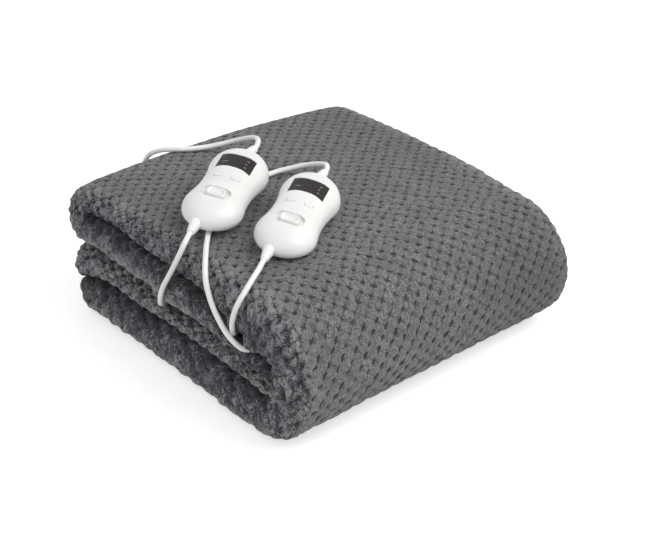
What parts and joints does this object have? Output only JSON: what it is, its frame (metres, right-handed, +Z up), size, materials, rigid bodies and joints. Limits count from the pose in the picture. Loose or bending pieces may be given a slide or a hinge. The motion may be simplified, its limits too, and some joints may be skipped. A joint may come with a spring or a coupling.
{
  "type": "heated mattress pad",
  "caption": "Heated mattress pad of grey waffle-textured plush, folded into a thick stack, with wired control handsets lying on top.",
  "frame": {"origin": "bottom centre of the folded pad, on the surface it rests on", "axes": "+X along the smooth rounded side, +Y back along the side where the folds show, +Z up"},
  "size_m": [0.3541, 0.4588, 0.1882],
  "materials": {
    "grey_plush": "deep soft pile with embossed cells",
    "white_shell": "smooth satin white",
    "dark_window": "smooth dark window",
    "white_lead": "soft white sheath",
    "plated_pin": "nickel plated"
  },
  "bodies": {
    "pad": {"pad": "grey_plush", "handset_left_shell": "white_shell", "handset_left_window": "dark_window", "handset_left_sleeve_top": "white_lead", "handset_left_sleeve_low": "white_lead", "handset_right_shell": "white_shell", "handset_right_window": "dark_window", "handset_right_sleeve_top": "white_lead", "handset_right_sleeve_low": "white_lead", "mains_lead_left": "white_lead", "mains_lead_right": "white_lead", "pad_lead_left": "white_lead", "pad_lead_right": "white_lead", "mains_coil": "white_lead", "plug_sleeve": "white_lead", "plug_body": "white_lead", "plug_pin_left": "plated_pin", "plug_pin_right": "plated_pin"},
    "handset_left_button_up": {"handset_left_button_up": "white_shell"},
    "handset_left_button_down": {"handset_left_button_down": "white_shell"},
    "handset_left_switch": {"handset_left_switch": "white_shell"},
    "handset_right_button_up": {"handset_right_button_up": "white_shell"},
    "handset_right_button_down": {"handset_right_button_down": "white_shell"},
    "handset_right_switch": {"handset_right_switch": "white_shell"}
  },
  "joints": [
    {"name": "handset_left_switch_slide", "type": "slide", "parent": "pad", "child": "handset_left_switch", "axis": [-0.4982, 0.861, 0.1026], "range_m": [-0.003, 0.003]},
    {"name": "handset_left_button_up_press", "type": "slide", "parent": "pad", "child": "handset_left_button_up", "axis": [-0.0447, 0.0926, -0.9947], "range_m": [0, 0.0008], "stiffness_N_per_m": 600, "springref_m": -0.0004},
    {"name": "handset_left_button_down_press", "type": "slide", "parent": "pad", "child": "handset_left_button_down", "axis": [-0.0447, 0.0926, -0.9947], "range_m": [0, 0.0008], "stiffness_N_per_m": 600, "springref_m": -0.0004},
    {"name": "handset_right_switch_slide", "type": "slide", "parent": "pad", "child": "handset_right_switch", "axis": [-0.4965, 0.8567, 0.1396], "range_m": [-0.003, 0.003]},
    {"name": "handset_right_button_up_press", "type": "slide", "parent": "pad", "child": "handset_right_button_up", "axis": [-0.0585, 0.1275, -0.9901], "range_m": [0, 0.0008], "stiffness_N_per_m": 600, "springref_m": -0.0004},
    {"name": "handset_right_button_down_press", "type": "slide", "parent": "pad", "child": "handset_right_button_down", "axis": [-0.0585, 0.1275, -0.9901], "range_m": [0, 0.0008], "stiffness_N_per_m": 600, "springref_m": -0.0004}
  ]
}
